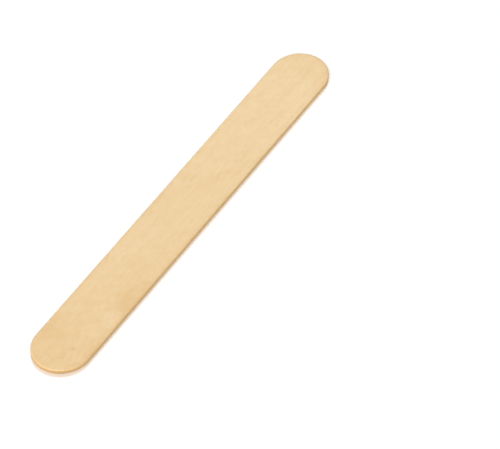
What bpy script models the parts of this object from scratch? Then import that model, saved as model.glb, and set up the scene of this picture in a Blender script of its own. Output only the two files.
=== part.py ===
# Tongue depressor: one flat blade of birch veneer with round ends and tumbled edges.
# Metres, +Z up. The blade lies on the ground: length along X, width along Y, thickness along Z.
# The origin is the middle of the lower face.

import math

import bmesh
import bpy
from mathutils import Matrix, Vector

# Driving dimensions
LENGTH = 0.150
WIDTH = 0.018
THICKNESS = 0.0016
# Length of each round end. A little over half the width makes the end a half ellipse.
END_LENGTH = 0.0096
# Radius that tumbling leaves along the rim of both faces
EDGE_RADIUS = 0.00035

# Fineness of the round stretches
END_SEGMENTS = 48
EDGE_SEGMENTS = 3

# Colour and surface of unfinished birch
BIRCH_COLOUR = (0.860, 0.637, 0.366, 1.0)
BIRCH_ROUGHNESS = 0.58


def remove_scene_objects():
    for obj in list(bpy.data.objects):
        bpy.data.objects.remove(obj, do_unlink=True)


def make_birch():
    material = bpy.data.materials.new("birch_veneer")
    material.use_nodes = True
    shader = material.node_tree.nodes["Principled BSDF"]
    shader.inputs["Base Color"].default_value = BIRCH_COLOUR
    shader.inputs["Roughness"].default_value = BIRCH_ROUGHNESS
    shader.inputs["Metallic"].default_value = 0.0
    return material


def add_round_end(bm, side):
    # A half circle swept as a chain of edges, then drawn out along X to the end's own length.
    # Side is +1 for the +X end and -1 for the other.
    end_radius = WIDTH / 2
    centre = Vector((side * (LENGTH / 2 - END_LENGTH), 0.0, 0.0))
    first = bm.verts.new((centre.x, -side * end_radius, 0.0))
    swept = bmesh.ops.spin(
        bm,
        geom=[first],
        cent=centre,
        axis=(0.0, 0.0, 1.0),
        angle=math.pi,
        steps=END_SEGMENTS,
        use_merge=False,
    )
    last = [element for element in swept["geom_last"] if isinstance(element, bmesh.types.BMVert)][0]
    bmesh.ops.scale(
        bm,
        vec=(END_LENGTH / end_radius, 1.0, 1.0),
        space=Matrix.Translation(-centre),
        verts=[vert for vert in bm.verts if side * vert.co.x > side * centre.x],
    )
    return first, last


def add_outline_face(bm):
    # The two round ends joined by the two straight sides, then filled.
    right_first, right_last = add_round_end(bm, 1)
    left_first, left_last = add_round_end(bm, -1)
    bm.edges.new((right_last, left_first))
    bm.edges.new((left_last, right_first))
    bmesh.ops.contextual_create(bm, geom=list(bm.edges))
    return list(bm.faces)


def thicken(bm, faces):
    raised = bmesh.ops.extrude_face_region(bm, geom=faces)
    raised_verts = [element for element in raised["geom"] if isinstance(element, bmesh.types.BMVert)]
    bmesh.ops.translate(bm, verts=raised_verts, vec=(0.0, 0.0, THICKNESS))
    bmesh.ops.recalc_face_normals(bm, faces=list(bm.faces))


def ease_rims(bm):
    # The rims are the edges between a flat face and the side wall.
    def is_rim(edge):
        return any(abs(face.normal.z) > 0.5 for face in edge.link_faces)

    bmesh.ops.bevel(
        bm,
        geom=[edge for edge in bm.edges if is_rim(edge)],
        offset=EDGE_RADIUS,
        offset_type="OFFSET",
        segments=EDGE_SEGMENTS,
        profile=0.5,
        affect="EDGES",
        material=-1,
    )


def make_blade():
    bm = bmesh.new()
    outline = add_outline_face(bm)
    thicken(bm, outline)
    ease_rims(bm)
    mesh = bpy.data.meshes.new("wooden_blade")
    bm.to_mesh(mesh)
    bm.free()
    mesh.shade_smooth()
    mesh.set_sharp_from_angle(angle=math.radians(40.0))
    mesh.materials.append(make_birch())
    blade = bpy.data.objects.new("wooden_blade", mesh)
    bpy.context.scene.collection.objects.link(blade)
    return blade


def main():
    remove_scene_objects()
    make_blade()


main()
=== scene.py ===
import math

import bmesh
import bpy
from mathutils import Matrix, Vector, noise


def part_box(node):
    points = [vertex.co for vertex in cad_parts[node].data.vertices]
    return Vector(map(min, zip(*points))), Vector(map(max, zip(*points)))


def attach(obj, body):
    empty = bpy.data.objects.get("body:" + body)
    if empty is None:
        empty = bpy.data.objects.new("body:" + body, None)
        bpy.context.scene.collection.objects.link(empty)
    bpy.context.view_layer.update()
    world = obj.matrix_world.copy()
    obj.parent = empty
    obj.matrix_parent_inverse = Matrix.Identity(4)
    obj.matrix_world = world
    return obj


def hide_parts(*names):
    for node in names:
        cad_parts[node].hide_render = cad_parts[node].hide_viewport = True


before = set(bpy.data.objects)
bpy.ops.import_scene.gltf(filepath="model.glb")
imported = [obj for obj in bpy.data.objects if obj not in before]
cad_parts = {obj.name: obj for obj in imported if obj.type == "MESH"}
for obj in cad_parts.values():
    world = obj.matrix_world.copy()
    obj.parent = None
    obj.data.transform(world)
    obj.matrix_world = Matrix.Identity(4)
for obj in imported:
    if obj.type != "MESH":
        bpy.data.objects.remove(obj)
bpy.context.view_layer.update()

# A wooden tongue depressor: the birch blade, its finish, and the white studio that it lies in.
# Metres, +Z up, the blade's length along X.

millimetre = 0.001
tolerance = 0.001 * millimetre  # coordinates that differ by less count as the same


# The blade's mesh. Its length, width, thickness and rim radius come from the frame.
bladeForm = {
    "name": "birchBlade",
    "endSteps": 96,  # round each end
    "sideSteps": 264,  # along each straight side
    "rimSteps": 6,  # round each tumbled rim
    "wallCuts": 3,  # up the side wall
    "faceCuts": 9,  # from the middle line out to the shoulder
    "shoulderCuts": 4,  # across the shoulder
    "shoulderWidth": 1.4 * millimetre,  # in from the outline, where the face falls away
    "shoulderFall": 0.100 * millimetre,  # how far it would fall if it went on to the outline
}

# How far cutting and tumbling leave each kind of surface below its true form at most, and how
# often that comes and goes, in waves per metre along X, Y and Z.
bladeWear = {
    "rims": {"depth": 0.050 * millimetre, "waves": (260.0, 420.0, 500.0), "seed": 3.0},
    "faces": {"depth": 0.010 * millimetre, "waves": (38.0, 620.0, 400.0), "seed": 11.0},
    "sides": {"depth": 0.014 * millimetre, "waves": (90.0, 500.0, 1900.0), "seed": 23.0},
    "ends": {"depth": 0.040 * millimetre, "waves": (1200.0, 1500.0, 700.0), "seed": 31.0},
}


def measureBlade(node):
    # The sizes of the CAD node. Its flat face ends where the rim starts, and its widest stretch
    # where the round ends start. A stretch of 1 would make those half circles.
    low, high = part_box(node)
    places = [v.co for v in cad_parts[node].data.vertices]
    halfWidth = high.y
    endCentre = max(p.x for p in places if halfWidth - p.y < tolerance)
    return {
        "halfWidth": halfWidth,
        "thickness": high.z - low.z,
        "rimRadius": halfWidth - max(p.y for p in places if high.z - p.z < tolerance),
        "endCentre": endCentre,
        "endStretch": (high.x - endCentre) / halfWidth,
    }


def cutsOf(edge):
    # The rim's own short edges are left whole.
    near, far = sorted(edge.verts, key=lambda v: abs(v.co.y))
    if abs(near.co.y) < tolerance:
        return bladeForm["faceCuts"]
    if abs(far.co.z - near.co.z) < tolerance:
        return bladeForm["shoulderCuts"]
    if abs(far.co.y - near.co.y) < tolerance:
        return bladeForm["wallCuts"]
    return 0


def makeSection(bm, size):
    # Half of the blade's cross section at the centre of the +X end, on its -Y side.
    shoulderY = size["halfWidth"] - bladeForm["shoulderWidth"]
    top = size["thickness"]
    corners = [(0.0, 0.0), (shoulderY, 0.0), (size["halfWidth"], 0.0)]
    corners += [(size["halfWidth"], top), (shoulderY, top), (0.0, top)]
    verts = [bm.verts.new((size["endCentre"], -y, z)) for y, z in corners]
    for pair in zip(verts, verts[1:]):
        bm.edges.new(pair)
    bmesh.ops.bevel(
        bm,
        geom=verts[2:4],  # the two outer corners
        offset=size["rimRadius"],
        offset_type="OFFSET",
        segments=bladeForm["rimSteps"],
        profile=0.5,
        affect="VERTICES",
        material=-1,
    )
    for edge in list(bm.edges):
        cuts = cutsOf(edge)
        if cuts:
            bmesh.ops.subdivide_edges(bm, edges=[edge], cuts=cuts)
    return list(bm.verts) + list(bm.edges)


def sweep(bm, section, steps, centreX=0.0, angle=0.0, travel=0.0):
    # Carries the section round an end, or straight along a side.
    swept = bmesh.ops.spin(
        bm,
        geom=section,
        cent=(centreX, 0.0, 0.0),
        axis=(0.0, 0.0, 1.0),
        dvec=(travel / steps, 0.0, 0.0),
        angle=angle,
        steps=steps,
        use_merge=False,
    )
    return swept["geom_last"]


def waves(place, layer):
    # Smooth noise from 0 to 1, with the layer's waves per metre along each axis.
    x, y, z = (along * perMetre for along, perMetre in zip(place, layer["waves"]))
    return 0.5 + 0.5 * noise.noise(Vector((x, y, z + layer["seed"])))


def wearBlade(bm, size):
    # Sinks each vertex along its normal, so that the worn blade stays inside the true one.
    bm.normal_update()
    for vert in bm.verts:
        place, normal = vert.co.copy(), vert.normal.copy()
        flat = abs(normal.z)
        upright = math.sqrt(max(0.0, 1.0 - flat * flat))
        # How much the vertex belongs to each kind of surface, which for a rim is 1 halfway round.
        shares = {
            "rims": 2.0 * flat * upright,
            "faces": flat,
            "sides": (1.0 - abs(normal.x)) * upright,
            "ends": abs(normal.x) * upright,
        }
        beyond = max(abs(place.x) - size["endCentre"], 0.0) / size["endStretch"]
        inset = size["halfWidth"] - math.hypot(beyond, place.y)
        nearRim = min(max(1.0 - inset / bladeForm["shoulderWidth"], 0.0), 1.0)
        depth = bladeForm["shoulderFall"] * nearRim * nearRim * flat
        for kind, layer in bladeWear.items():
            depth += layer["depth"] * shares[kind] * waves(place, layer)
        vert.co = place - normal * depth


def makeBlade(size):
    bm = bmesh.new()
    section = makeSection(bm, size)
    for side in (1, -1):
        centreX = side * size["endCentre"]
        section = sweep(bm, section, bladeForm["endSteps"], centreX=centreX, angle=math.pi)
        bmesh.ops.scale(
            bm,
            vec=(size["endStretch"], 1.0, 1.0),
            space=Matrix.Translation((-centreX, 0.0, 0.0)),
            verts=[v for v in bm.verts if side * v.co.x > size["endCentre"]],
        )
        section = sweep(bm, section, bladeForm["sideSteps"], travel=-2 * centreX)
    bmesh.ops.remove_doubles(bm, verts=bm.verts, dist=tolerance)
    bmesh.ops.recalc_face_normals(bm, faces=bm.faces)
    wearBlade(bm, size)
    mesh = bpy.data.meshes.new(bladeForm["name"])
    bm.to_mesh(mesh)
    bm.free()
    mesh.shade_smooth()
    mesh.materials.append(makeBirch(size))
    blade = bpy.data.objects.new(bladeForm["name"], mesh)
    bpy.context.scene.collection.objects.link(blade)
    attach(blade, "root")
    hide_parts("wooden_blade")
    print("blade:", len(mesh.polygons), "faces")


# Shader noise.
plainNoise = {"turn": 0.0, "detail": 2.0, "roughness": 0.5, "bend": 0.0}  # where a layer has none
seedStep = (17.0, 29.0, 7.0)  # how far a seed of 1 moves a layer, in millimetres
noiseMiddle = 0.5  # the value that a layer swings about


class Value:
    # An output socket, so that shader maths reads as an expression.
    def __init__(self, graph, socket):
        self.graph = graph
        self.socket = socket

    def also(self, output):
        # Another output of the same node.
        return Value(self.graph, self.socket.node.outputs[output])

    def __add__(self, other):
        return self.graph.number("ADD", self, other)

    def __radd__(self, other):
        return self.graph.number("ADD", other, self)

    def __sub__(self, other):
        return self.graph.number("SUBTRACT", self, other)

    def __rsub__(self, other):
        return self.graph.number("SUBTRACT", other, self)

    def __mul__(self, other):
        return self.graph.number("MULTIPLY", self, other)

    def __rmul__(self, other):
        return self.graph.number("MULTIPLY", other, self)

    def __abs__(self):
        return self.graph.number("ABSOLUTE", self)


class Graph:
    # The node tree of a material or a world, emptied first.
    def __init__(self, owner):
        owner.use_nodes = True
        self.tree = owner.node_tree
        self.tree.nodes.clear()

    def node(self, kind, settings=None, sockets=None, output=0):
        # Adds a node: its settings first, then the values and links of its sockets.
        made = self.tree.nodes.new("ShaderNode" + kind)
        for name, value in (settings or {}).items():
            setattr(made, name, value)
        for name, value in (sockets or {}).items():
            if isinstance(value, Value):
                self.tree.links.new(value.socket, made.inputs[name])
            else:
                made.inputs[name].default_value = value
        return Value(self, made.outputs[output]) if made.outputs else made

    def number(self, operation, *values):
        return self.node("Math", {"operation": operation}, dict(enumerate(values)))

    def vector(self, operation, *values, output=0):
        return self.node("VectorMath", {"operation": operation}, dict(enumerate(values)), output)

    def blend(self, factor, first, second):
        # Mixes two colours, which are sockets 6 and 7 of the node.
        settings = {"data_type": "RGBA", "clamp_factor": True}
        return self.node("Mix", settings, {0: factor, 6: first, 7: second}, output=2)

    def fade(self, value, start, end):
        # 0 at start and 1 at end, with a smooth turn between them.
        settings = {"interpolation_type": "SMOOTHSTEP", "clamp": True}
        return self.node("MapRange", settings, {"Value": value, "From Min": start, "From Max": end})

    def reach(self, place, centre, size, turn=0.0):
        # Places in units of a box of that size, turned in the plane of the blade about its centre.
        rotation = (0.0, 0.0, math.radians(turn))
        sockets = {"Vector": place, "Location": centre, "Rotation": rotation, "Scale": size}
        return self.node("Mapping", {"vector_type": "TEXTURE"}, sockets)

    def noise(self, place, layer, output=0):
        # Noise whose lumps have the layer's size. Its seed moves it to another part of the noise.
        full = {**plainNoise, **layer}
        centre = tuple(full["seed"] * step for step in seedStep)
        texture = {
            "Vector": self.reach(place, centre, full["size"], full["turn"]),
            "Scale": 1.0,
            "Detail": full["detail"],
            "Roughness": full["roughness"],
            "Distortion": full["bend"],
        }
        return self.node("TexNoise", {"noise_dimensions": "3D"}, texture, output)

    def patch(self, place, mark):
        # 1 at the centre of a mark's soft oval patch and 0 at its rim.
        scaled = self.reach(place, mark["centre"], mark["reach"], mark["turn"])
        return self.fade(self.vector("LENGTH", scaled, output=1), 1.0, 0.0)


# The birch's finish, with painted shade and warm bounce light on its cut edges. Colours are linear.
birchFinishAndShade = {
    "pale": (0.926, 0.726, 0.448, 1.0),
    "warm": (0.820, 0.564, 0.280, 1.0),
    "dark": (0.420, 0.250, 0.120, 1.0),
    # The cut edge colours are darker and warmer than the face: partly the real cut edge and end
    # grain, partly painted shade and warm bounce light.
    "cutEdgeAndShade": (0.900, 0.530, 0.170, 1.0),
    "endGrainAndShade": (0.690, 0.395, 0.155, 1.0),
    "roughness": 0.56,
    "fibreRoughness": 0.12,  # how much rougher the highest fibres are than the lowest
    "endRoughness": 0.15,  # how much rougher the end grain is
    "specular": 0.45,
    "tone": 0.5,  # of the middle of the blade, from 0 for pale to 1 for warm
    "slope": 0.0026,  # how much warmer the tone gets for each millimetre towards -X
    "rimTone": 0.16,  # how much warmer the veneer is right at its rim
    "rimReach": (0.2, 2.0),  # the millimetres inside the outline over which that fades out
    "wallLean": (0.15, 0.65),  # Z of the normal over which the cut edge turns into the face
    "endTurn": (0.25, 0.85),  # X of the normal over which a side turns into an end
    "wallTintAndShade": 0.90,  # how far the side walls go to their darker colour, partly the cut edge's own and partly painted shade
    "endTintAndShade": 0.75,  # and how far that goes to the end grain's, with more painted shade, round the ends
    "relief": 0.06,  # millimetres that a height of 1 stands for
    "reliefStrength": 0.6,
}

# Layers of the tone, with lumps of a size in millimetres along X, Y and Z, a turn in degrees, the
# share of the way from pale to warm that they swing through, and their height in the relief.
birchLayers = {
    "drift": {"size": (40.0, 12.0, 5.0), "seed": 4.0, "share": 0.24},
    "figure": {
        "size": (30.0, 2.6, 3.0),
        "turn": -10.0,
        "bend": 0.6,
        "seed": 9.0,
        "share": 0.30,
        "height": 0.3,
    },
    "shimmer": {"size": (8.0, 2.6, 4.0), "turn": -52.0, "seed": 2.0, "share": 0.44},
    "mottle": {"size": (1.9, 1.3, 1.2), "seed": 7.0, "share": 0.62},
    "fibres": {
        "size": (14.0, 0.34, 0.34),
        "detail": 4.0,
        "roughness": 0.7,
        "seed": 5.0,
        "share": 0.41,
        "height": 0.8,
    },
}

# Fine dark lines: the size of their lumps, the noise at which they begin and are full, how far
# they go to the dark colour, and how deep they are in shares of the relief.
birchLines = {
    "streaks": {
        "size": (9.0, 0.14, 0.14),
        "seed": 3.0,
        "limits": (0.52, 0.78),
        "share": 0.10,
        "depth": 0.4,
    },
    "pores": {
        "size": (1.7, 0.08, 0.08),
        "seed": 8.0,
        "limits": (0.61, 0.76),
        "share": 0.26,
        "depth": 0.8,
    },
}

# Marks that the knife leaves up and down the cut edge, with the same entries.
knifeMarks = {
    "size": (0.16, 0.16, 2.4),
    "seed": 5.0,
    "limits": (0.50, 0.78),
    "share": 0.10,
    "depth": 0.45,
}

# The boundaries of growth rings: contours of a long, low noise, so many to a unit of it. Each
# fades out to either side over its width, in shares of the distance between two.
birchRings = {
    "size": (75.0, 8.0, 5.0),
    "detail": 1.0,
    "seed": 12.0,
    "count": 11.0,
    "width": 0.18,
    "share": 0.045,
}

# Marks of this one blade, seen on its upper face: centre and reach in millimetres, turn in
# degrees, and share. Above 0 is warmer and darker, below 0 is paler.
birchMarks = [
    {"centre": (-66.0, 0.0, 1.6), "reach": (12.0, 14.0, 2.5), "turn": 0.0, "share": 0.10},
    {"centre": (-61.5, 7.5, 1.6), "reach": (8.0, 5.5, 2.0), "turn": -10.0, "share": 0.30},
    {"centre": (-62.5, -7.5, 1.6), "reach": (5.0, 5.0, 2.0), "turn": 0.0, "share": 0.16},
    {"centre": (-42.5, -7.0, 1.6), "reach": (6.0, 5.5, 2.0), "turn": -10.0, "share": 0.46},
    {"centre": (-36.0, -6.0, 1.6), "reach": (9.0, 6.0, 2.0), "turn": -30.0, "share": 0.26},
    {"centre": (-49.5, -5.0, 1.6), "reach": (4.0, 4.5, 1.5), "turn": 0.0, "share": -0.26},
    {"centre": (-28.0, 0.0, 1.6), "reach": (13.0, 3.0, 1.5), "turn": -72.0, "share": 0.12},
    {"centre": (9.5, 0.0, 1.6), "reach": (30.0, 3.2, 1.5), "turn": -24.0, "share": 0.14},
    {"centre": (38.0, 2.0, 1.6), "reach": (24.0, 2.4, 1.5), "turn": -10.0, "share": 0.09},
    {"centre": (74.0, 0.0, 1.6), "reach": (18.0, 18.0, 3.0), "turn": 0.0, "share": 0.30},
]

# Noise that makes the outlines of those marks uneven, by up to half the shift in millimetres.
markWarp = {"size": (5.0, 3.0, 3.0), "detail": 1.0, "seed": 6.0, "shift": (5.0, 3.0, 0.0)}

# The small dark fleck near one end.
pithFleck = {"centre": (-64.7, -3.3, 1.6), "reach": (1.15, 0.85, 0.6), "turn": 20.0, "share": 0.24}


def makeBirch(size):
    material = bpy.data.materials.new("birchVeneer")
    g = Graph(material)
    coordinates = g.node("TexCoord", output="Object")
    place = g.vector("MULTIPLY", coordinates, (1 / millimetre, 1 / millimetre, 1 / millimetre))
    x = g.node("SeparateXYZ", None, {0: place})
    y = x.also("Y")
    normalX = g.node("SeparateXYZ", None, {0: coordinates.also("Normal")})
    facing = abs(normalX.also("Z"))

    # How far a point lies inside the outline, and how much it belongs to the cut edge.
    beyond = g.number("MAXIMUM", abs(x) - size["endCentre"] / millimetre, 0.0)
    beyond = beyond * (1 / size["endStretch"])
    inset = size["halfWidth"] / millimetre - g.number("SQRT", beyond * beyond + y * y)
    nearRim = 1 - g.fade(inset, *birchFinishAndShade["rimReach"])
    wall = 1 - g.fade(facing, *birchFinishAndShade["wallLean"])
    endWall = wall * g.fade(abs(normalX), *birchFinishAndShade["endTurn"])

    # The tone, from pale to warm.
    tone = birchFinishAndShade["tone"] - x * birchFinishAndShade["slope"] + nearRim * birchFinishAndShade["rimTone"]
    swings = {}
    for name, layer in birchLayers.items():
        swings[name] = g.noise(place, layer) - noiseMiddle
        tone = tone + swings[name] * layer["share"]
    stray = g.vector("SUBTRACT", g.noise(place, markWarp, output=1), (noiseMiddle,) * 3)
    warped = g.vector("MULTIPLY_ADD", stray, markWarp["shift"], place)
    for mark in birchMarks:
        tone = tone + g.patch(warped, mark) * mark["share"]
    tone = g.number("MINIMUM", g.number("MAXIMUM", tone, 0.0), 1.0)
    colour = g.blend(tone, birchFinishAndShade["pale"], birchFinishAndShade["warm"])
    # Sides and ends go darker and warmer: partly the cut edge's own colour, partly painted shade
    # and warm bounce light, deepest round the ends.
    colour = g.blend(wall * birchFinishAndShade["wallTintAndShade"], colour, birchFinishAndShade["cutEdgeAndShade"])
    colour = g.blend(endWall * birchFinishAndShade["endTintAndShade"], colour, birchFinishAndShade["endGrainAndShade"])

    # What lies darker in it, and how deep. A contour is at 0 wherever the count is whole.
    contour = g.number("PINGPONG", g.noise(place, birchRings) * birchRings["count"], 0.5)
    dark = g.fade(contour, birchRings["width"], 0.0) * birchRings["share"]
    dark = dark + g.patch(place, pithFleck) * pithFleck["share"]
    fibreHeight = swings["fibres"] * birchLayers["fibres"]["height"]
    height = fibreHeight + swings["figure"] * birchLayers["figure"]["height"]
    for line in birchLines.values():
        strength = g.fade(g.noise(place, line), *line["limits"])
        dark = dark + strength * line["share"]
        height = height - strength * line["depth"]
    strength = g.fade(g.noise(place, knifeMarks), *knifeMarks["limits"]) * wall
    dark = dark + strength * knifeMarks["share"]
    height = height - strength * knifeMarks["depth"]
    colour = g.blend(dark, colour, birchFinishAndShade["dark"])

    # Relief and gloss.
    bump = {
        "Strength": birchFinishAndShade["reliefStrength"],
        "Distance": birchFinishAndShade["relief"] * millimetre,
        "Height": height,
    }
    relief = g.node("Bump", None, bump)
    roughness = birchFinishAndShade["roughness"] + swings["fibres"] * birchFinishAndShade["fibreRoughness"]
    roughness = roughness + endWall * birchFinishAndShade["endRoughness"]
    shader = {
        "Base Color": colour,
        "Roughness": roughness,
        "Normal": relief,
        "Specular IOR Level": birchFinishAndShade["specular"],
    }
    g.node("OutputMaterial", None, {"Surface": g.node("BsdfPrincipled", None, shader)})
    print("birch:", len(g.tree.nodes), "nodes")
    return material


# The white ground. Lift is the light that the camera sees it give off, on top of what falls on it.
groundFinish = {
    "halfSize": 12.0,
    "white": (0.84, 0.84, 0.84, 1.0),
    "lift": 0.17,
    "gloss": 0.50,
    "glossColour": (1.0, 1.0, 1.0, 1.0),
    "glossRoughness": 0.06,
}


def makeGround():
    material = bpy.data.materials.new("whiteGround")
    g = Graph(material)
    camera = g.node("LightPath", output="Is Camera Ray")
    seen = g.number("MAXIMUM", camera, camera.also("Is Glossy Ray"))
    matte = g.node("BsdfDiffuse", None, {"Color": groundFinish["white"]})
    lift = g.node("Emission", None, {"Strength": seen * groundFinish["lift"]})
    lifted = g.node("AddShader", None, {0: matte, 1: lift})
    polish = {"Color": groundFinish["glossColour"], "Roughness": groundFinish["glossRoughness"]}
    mirror = g.node("BsdfGlossy", None, polish)
    surface = g.node("MixShader", None, {0: camera * groundFinish["gloss"], 1: lifted, 2: mirror})
    g.node("OutputMaterial", None, {"Surface": surface})
    bm = bmesh.new()
    bmesh.ops.create_grid(bm, x_segments=1, y_segments=1, size=groundFinish["halfSize"])
    mesh = bpy.data.meshes.new("ground")
    bm.to_mesh(mesh)
    bm.free()
    mesh.materials.append(material)
    ground = bpy.data.objects.new("ground", mesh)
    bpy.context.scene.collection.objects.link(ground)
    print("ground ready")


# A wide soft lamp from the camera's left, and an even white surround. Between them they light a
# surface that faces up at 1, at which a matt colour renders as it is written.
studioLight = {
    "surround": 0.45,
    "surroundColour": (1.0, 1.0, 1.0, 1.0),
    "keyShare": 0.55,
    "keyAzimuth": -92.0,  # degrees, where the lamp stands, counted as for the camera
    "keyElevation": 54.0,
    "keySpread": 28.0,
    "keyDistance": 1.0,  # metres, which change nothing for a lamp of this kind
}

# The camera. The aim is a point in the frame; azimuth and elevation are those of the photograph.
photoCamera = {
    "azimuth": -58.34,
    "elevation": 46.54,
    "distance": 1.0979,
    "aim": (0.00859, -0.01742, -0.0048),
    "lens": 266.1,
    "sensor": 36.0,
}


def direction(azimuth, elevation):
    a, e = math.radians(azimuth), math.radians(elevation)
    return Vector((math.sin(a) * math.cos(e), -math.cos(a) * math.cos(e), math.sin(e)))


def aimAt(thing, target, towards, distance):
    # Places a lamp or a camera and turns its front to the target.
    thing.location = target + towards * distance
    thing.rotation_mode = "QUATERNION"
    thing.rotation_quaternion = (-towards).to_track_quat("-Z", "Y")
    bpy.context.scene.collection.objects.link(thing)


def makeLight():
    towards = direction(studioLight["keyAzimuth"], studioLight["keyElevation"])
    lamp = bpy.data.lights.new("key", "SUN")
    lamp.energy = studioLight["keyShare"] * math.pi / towards.z
    lamp.angle = math.radians(studioLight["keySpread"])
    origin = Vector((0.0, 0.0, 0.0))
    aimAt(bpy.data.objects.new("key", lamp), origin, towards, studioLight["keyDistance"])
    world = bpy.data.worlds.new("surround")
    bpy.context.scene.world = world
    g = Graph(world)
    camera = g.node("LightPath", output="Is Camera Ray")
    seen = g.number("MAXIMUM", camera, camera.also("Is Glossy Ray"))
    strength = studioLight["surround"] + seen * (1.0 - studioLight["surround"])
    sky = {"Color": studioLight["surroundColour"], "Strength": strength}
    g.node("OutputWorld", None, {"Surface": g.node("Background", None, sky)})
    print("light ready")


def makeCamera():
    data = bpy.data.cameras.new("camera")
    data.lens = photoCamera["lens"]
    data.sensor_width = photoCamera["sensor"]
    camera = bpy.data.objects.new("camera", data)
    towards = direction(photoCamera["azimuth"], photoCamera["elevation"])
    aimAt(camera, Vector(photoCamera["aim"]), towards, photoCamera["distance"])
    bpy.context.scene.camera = camera
    print("camera ready")


makeCamera()
makeBlade(measureBlade("wooden_blade"))
makeGround()
makeLight()
bpy.context.scene.view_settings.view_transform = "Standard"
